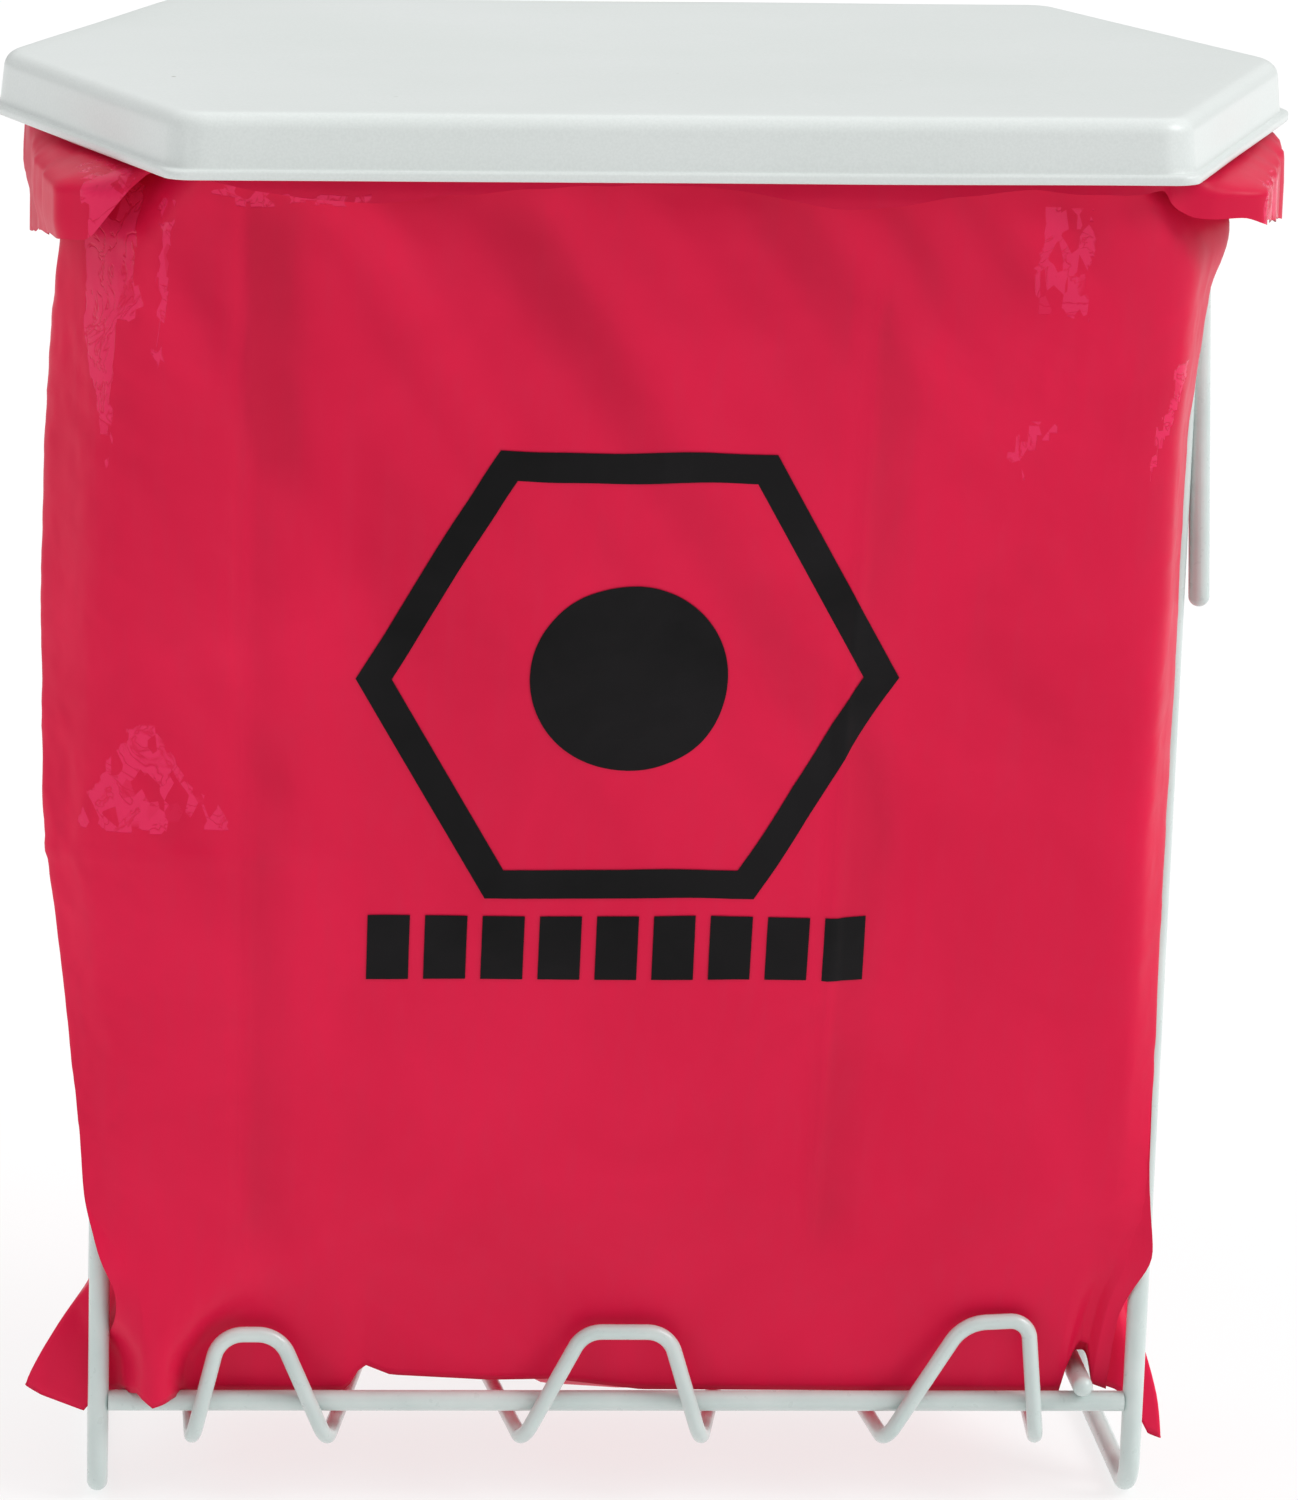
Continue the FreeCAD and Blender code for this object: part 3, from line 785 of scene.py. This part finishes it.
def film_relief(rows, first, levels):
    """Height of the wrinkles at each point of the film, in millimetres."""
    x, y, z = rows[..., 0], rows[..., 1], rows[..., 2]
    flat = rows.copy()
    flat[..., 1] = np.where(y < 0, -60, 60)
    relief = 2.0 * film_noise(flat, 95, 1.0)
    # Folds that run from the lower right to the upper left
    tilted = flat.copy()
    tilted[..., 0] = (x * 0.83 + z * 0.55) / 34
    tilted[..., 2] = (z * 0.83 - x * 0.55) / 210
    tilted[..., 1] /= 200
    upper = ease((z - 110) / 200) * ease((430 - z) / 30) * ease((158 - np.abs(x)) / 30)
    relief += 6.8 * upper * film_noise(tilted, 1.0, 5.5)
    tilted[..., 0] *= 2.3
    relief += 1.9 * upper * film_noise(tilted, 1.0, 15.5)
    # Upright gathers below the ring
    hang = flat.copy()
    hang[..., 2] = z / 260
    hang[..., 0] = x / 30
    hang[..., 1] /= 60
    near_top = np.exp(-np.maximum(424 - z, 0) / 60)
    relief += 1.3 * near_top * film_noise(hang, 1.0, 3.3)
    # Two long upright creases down the front, and two level ones
    crease = np.zeros_like(x)
    front = ease((-y - 40) / 6)
    for at_top, at_foot, top_z, foot_z in ((-122, -117, 420, 70), (59.5, 54.7, 400, 70)):
        line = at_foot + (at_top - at_foot) * (z - 84) / 323
        strength = ease((z - foot_z) / 30) * ease((top_z - z) / 20)
        crease += 1.3 * strength * np.exp(-((x - line) / 2.2) ** 2)
        crease -= 2.3 * strength * ease((x - line) / 16) * ease((line + 34 - x) / 18)
    across = np.exp(-((z - 217 - 0.04 * x) / 1.8) ** 2) * ease((-84 - x) / 8)
    waved = np.exp(-((z - 62 - 3 * np.sin(x / 31)) / 1.6) ** 2)
    across += 0.8 * waved * ease((x + 110) / 30) * ease((130 - x) / 30)
    crease += 0.7 * across
    relief += crease * front
    # Crumples, strongest at the places in CRUMPLES
    mask = np.full_like(x, 0.12)
    for at_x, at_z, wide, high, strength in CRUMPLES:
        mask += strength * np.exp(-((x - at_x) / wide) ** 2 - ((z - at_z) / high) ** 2)
    mask += 0.35 * (y > 60) + 0.25 * ease((np.abs(x) - 140) / 12) * ease((z - 80) / 30)
    relief += 0.9 * mask * ridged(rows, 15.0, 7.7)
    relief += 0.10 * film_noise(rows, 5.0, 6.1)
    # No relief on the ring, and less of it near the foot and under the bag
    on_ring = np.zeros(len(rows))
    on_ring[:first] = 1.0
    on_ring[first:first + 8] = np.linspace(1, 0, 8)
    quiet = 1 - on_ring[:, None]
    low = ease((z - 66) / 22)
    closing = np.ones(len(rows))
    closing[first + levels - 6:] = 0.35
    return relief * quiet * (0.15 + 0.85 * low) * closing[:, None]


# Crumpled places on the film: centre, half width and height in millimetres, and strength
CRUMPLES = [
    (-150, 372, 16, 70, 0.5),
    (113, 382, 10, 34, 1.6),
    (113, 330, 10, 40, 0.6),
    (-145, 228, 22, 22, 0.9),
    (-60, 52, 110, 12, 0.5),
    (120, 60, 30, 16, 0.5),
    (140, 352, 7, 22, 0.9),
]
# Places of painted highlight, lighter pink and glossier: centre x and z, half width at the top
# and at the foot, half height, lean, and how far crumpling breaks them up
HIGHLIGHT_PLACES = [
    (-160, 396, 7.5, 7.0, 22, 0.0, 0.2),
    (-162, 356, 5.0, 0.8, 26, -0.06, 0.2),
    (-145, 386, 2.0, 0.7, 24, 0.05, 0.3),
    (112, 397, 8.0, 7.0, 17, 0.0, 0.9),
    (104, 340, 4.0, 2.0, 9, 0.5, 0.85),
    (146, 347, 2.5, 1.0, 18, 0.25, 0.35),
    (-148, 236, 4.0, 24.0, 16, 0.0, 0.6),
    (178, 408, 7.0, 8.0, 10, 0.0, 0.8),
    (-112, 413, 22.0, 14.0, 2.2, 0.0, 0.6),
]


def highlight_places(rows):
    """How strongly each point of the film carries the painted highlight, from 0 to 1."""
    x, y, z = rows[..., 0], rows[..., 1], rows[..., 2]
    wobble = film_noise(rows, 11.0, 2.2)
    total = np.zeros_like(x)
    # Painted highlight: each listed place adds a soft-edged patch of the highlight mask
    for at_x, at_z, top, foot, high, lean, broken in HIGHLIGHT_PLACES:
        up = (z - at_z) / high
        width = foot + (top - foot) * np.clip((up + 1) / 2, 0, 1)
        aside = np.abs(x - at_x - lean * (z - at_z)) / width + 0.35 * wobble
        inside = ease((1.12 - aside) / 0.24) * ease((1.1 - np.abs(up)) / 0.2)
        total = np.maximum(total, inside * (1 - 0.55 * broken))
    return total * ((y < -62) | ((y < -20) & (z > 392)))


def ridged(points, scale, seed):
    """Sharp-edged crumple noise, as in creased film."""
    first = 1 - 2.2 * np.abs(film_noise(points, scale, seed))
    second = 1 - 2.2 * np.abs(film_noise(points, scale * 0.45, seed + 3))
    return 0.65 * first + 0.35 * second - 0.55


def make_film():
    """The liner as one closed-seamed sheet, with its wrinkles."""
    rows, first, levels = film_rows()
    normals = grid_normals(rows)
    relief = film_relief(rows, first, levels)
    run = np.linalg.norm(np.roll(rows, -1, axis=1) - np.roll(rows, 1, axis=1), axis=2)
    # Painted shade: the slope of the relief across the columns, which below becomes the mask that darkens
    # one side of each fold
    slope = (np.roll(relief, -1, axis=1) - np.roll(relief, 1, axis=1)) / np.maximum(run, 1.0)
    rows = rows + normals * relief[..., None]
    film = grid_object("liner_film", rows * MM)
    fold_shade = np.clip(0.5 + 1.9 * blur(slope, 1.0, 1, True), 0, 1)
    # Painted shade: the cuff is darkened all round
    fold_shade[:first] = np.maximum(fold_shade[:first] - 0.25, 0)
    for name, values in (("highlight_and_gloss", highlight_places(rows)), ("fold_shade", fold_shade)):
        layer = film.data.attributes.new(name, "FLOAT", "POINT")
        layer.data.foreach_set("value", values.ravel())
    edit = bmesh.new()
    edit.from_mesh(film.data)
    edit.verts.ensure_lookup_table()
    width = rows.shape[1]
    seam = edit.verts[-width:]
    bmesh.ops.remove_doubles(edit, verts=seam, dist=0.0004)
    edit.to_mesh(film.data)
    edit.free()
    return film


# ---------------------------------------------------------------- print on the film

# In millimetres: middle of the hexagon and disc, their sizes, and the row of bars below
PRINT_X, PRINT_Z = -7.8, 270.0
HEXAGON_OUTER, HEXAGON_INNER, DISC_R = 80, 69.5, 29
BAR_COUNT, BAR_PITCH, BAR_WIDTH, BAR_LOW, BAR_HIGH = 9, 17.0, 12.5, 174.5, 195
FIRST_BAR_INSET = 2.2


def lay_on_film(name, patches, film):
    """Joins flat grids of (x, z) points into one mesh laid just in front of the film."""
    graph = bpy.context.evaluated_depsgraph_get()
    tree = BVHTree.FromObject(film, graph)
    points, faces = [], []
    for patch in patches:
        base = len(points)
        count, width = len(patch), len(patch[0])
        for row in patch:
            for x, z in row:
                hit = tree.ray_cast(Vector((x * MM, -0.3, z * MM)), Vector((0, 1, 0)))[0]
                points.append((x * MM, hit.y - 0.0003, z * MM))
        for row in range(count - 1):
            for column in range(width - 1):
                a = base + row * width + column
                faces.append((a, a + 1, a + width + 1, a + width))
    mesh = bpy.data.meshes.new(name)
    mesh.from_pydata(points, [], faces)
    mesh.polygons.foreach_set("use_smooth", [True] * len(faces))
    piece = bpy.data.objects.new(name, mesh)
    bpy.context.scene.collection.objects.link(piece)
    return piece


def polygon_band(sides, outer, inner, steps, across):
    """Grid of a regular polygon's outline, or of a ring where sides is 0."""
    rows = []
    total = steps * 6
    for level in range(across):
        reach = inner + (outer - inner) * level / (across - 1)
        row = []
        for step in range(total + 1):
            angle = 2 * math.pi * step / total
            if sides:
                sector = 2 * math.pi / sides
                within = (angle % sector) - sector / 2
                radius = reach * math.cos(sector / 2) / math.cos(within)
            else:
                radius = reach
            row.append((PRINT_X + radius * math.cos(angle), PRINT_Z + radius * math.sin(angle)))
        rows.append(row)
    return rows


def bar_grid(left, right, low, high, step=0.8):
    """Grid of an upright bar, with points about a step apart."""
    across = max(2, int((right - left) / step) + 1)
    up = max(2, int((high - low) / step) + 1)
    return [[(x, z) for x in np.linspace(left, right, across)] for z in np.linspace(low, high, up)]


def print_patches():
    """A plain hexagon round a disc, over a row of plain bars."""
    patches = [polygon_band(6, HEXAGON_OUTER, HEXAGON_INNER, 90, 14), polygon_band(0, DISC_R, 0.01, 30, 28)]
    for index in range(BAR_COUNT):
        left = PRINT_X - BAR_COUNT / 2 * BAR_PITCH + FIRST_BAR_INSET + index * BAR_PITCH
        patches.append(bar_grid(left, left + BAR_WIDTH, BAR_LOW, BAR_HIGH))
    return patches


# ---------------------------------------------------------------- assembly


def give_material(piece, material):
    """Makes a material the only one of a piece."""
    piece.data.materials.clear()
    piece.data.materials.append(material)


lid = make_lid()
give_material(lid, lid_material())
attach(lid, "lid")
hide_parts("lid_shell")

source = bpy.data.objects["lid_bumpers"]
pads = bpy.data.objects.new("lid_pads", source.data.copy())
bpy.context.scene.collection.objects.link(pads)
# The leaning lid leaves less room at the left, so the pads are squashed on to the film there
pad_low, pad_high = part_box("lid_bumpers")
film_top = RING_Z + WIRE_R + 0.7 * MM
for vertex in pads.data.vertices:
    roof = pad_high.z - math.tan(LID_LEAN) * vertex.co.x
    room = min(1.0, (roof - film_top) / (pad_high.z - pad_low.z))
    vertex.co.z = roof - (pad_high.z - vertex.co.z) * room
give_material(pads, rubber_material())
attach(pads, "lid")
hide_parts("lid_bumpers")

coating = coating_material()
for node in (
    "rim_ring",
    "left_leg_hoop",
    "right_leg_hoop",
    "front_bar",
    "rear_bar",
    "left_floor_wire",
    "right_floor_wire",
    "left_bag_stop",
    "middle_bag_stop",
    "right_bag_stop",
    "left_rim_stub",
    "right_rim_stub",
    "hinge_wire",
):
    give_material(bpy.data.objects[node], coating)
nylon = plastic_clip_material()
give_material(bpy.data.objects["left_hinge_clip"], nylon)
give_material(bpy.data.objects["right_hinge_clip"], nylon)
give_material(bpy.data.objects["hinge_clip_screws"], steel_material())

film = make_film()
give_material(film, film_material("film_crimson"))
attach(film, "stand")
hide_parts("liner_bag")

mark = lay_on_film("liner_print", print_patches(), film)
give_material(mark, film_material("film_print_black", dark=True))
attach(mark, "stand")

# ---------------------------------------------------------------- floor, light and camera

bpy.ops.mesh.primitive_plane_add(size=60, location=(0, 2, 0))
floor = bpy.context.object
floor.name = "studio_floor"
give_material(floor, floor_material())

world = bpy.data.worlds.new("studio")
bpy.context.scene.world = world
world.use_nodes = True
sky = add_node(world.node_tree, "ShaderNodeTexCoord").outputs["Generated"]
direction = add_node(world.node_tree, "ShaderNodeSeparateXYZ", {"Vector": sky}).outputs
dome = ramp(world.node_tree, direction["Z"], [(0.0, grey(0.20)), (0.9, grey(1.0))])
# Dimmer behind the camera than behind the object
dimming = {"Value": direction["Y"], "From Min": -1.0, "From Max": 0.3, "To Min": 0.55, "To Max": 1.0}
behind = add_node(world.node_tree, "ShaderNodeMapRange", dimming)
dome = mix_colour(world.node_tree, 1.0, dome, behind.outputs[0], "MULTIPLY")
world.node_tree.links.new(dome, world.node_tree.nodes["Background"].inputs["Color"])
world.node_tree.nodes["Background"].inputs["Strength"].default_value = 1.24


LIGHT_AIM = Vector((0, 0, 0.38))


def strip_light(name, place, width, height, power):
    """Tall narrow area light that faces the object."""
    data = bpy.data.lights.new(name, "AREA")
    data.shape = "RECTANGLE"
    data.size = width
    data.size_y = height
    data.energy = power
    lamp = bpy.data.objects.new(name, data)
    lamp.location = place
    lamp.rotation_euler = (LIGHT_AIM - Vector(place)).to_track_quat("-Z", "Y").to_euler()
    bpy.context.scene.collection.objects.link(lamp)


strip_light("strip_left", (-1.7, -1.5, 0.72), 0.07, 1.2, 3.5)
strip_light("strip_right", (1.75, -1.75, 0.62), 0.06, 1.1, 3)

sun = bpy.data.lights.new("high_right", "SUN")
sun.energy = 1.5
sun.angle = math.radians(30)
high_right = bpy.data.objects.new("high_right", sun)
high_right.rotation_euler = Vector((0.70, -0.20, 0.66)).to_track_quat("Z", "Y").to_euler()
bpy.context.scene.collection.objects.link(high_right)

# The camera that a perspective fit of the lid and the wires gave: turn in radians, place in metres
heading, pitch, roll = 0.0929, 0.2366, 0.0318
camera_place = Vector((-0.1683, -1.8855, 0.6826))
right = Vector((math.cos(heading), -math.sin(heading), 0))
ahead = Vector((math.sin(heading) * math.cos(pitch), math.cos(heading) * math.cos(pitch), -math.sin(pitch)))
above = Vector((math.sin(heading) * math.sin(pitch), math.cos(heading) * math.sin(pitch), math.cos(pitch)))
side = math.cos(roll) * right + math.sin(roll) * above
crown = -math.sin(roll) * right + math.cos(roll) * above
lens = bpy.data.cameras.new("camera")
lens.lens = 151.84
lens.sensor_width = 36
camera = bpy.data.objects.new("camera", lens)
bpy.context.scene.collection.objects.link(camera)
pose = Matrix((side, crown, -ahead)).transposed().to_4x4()
pose.translation = camera_place
camera.matrix_world = pose
bpy.context.scene.camera = camera
bpy.context.scene.view_settings.view_transform = "Standard"
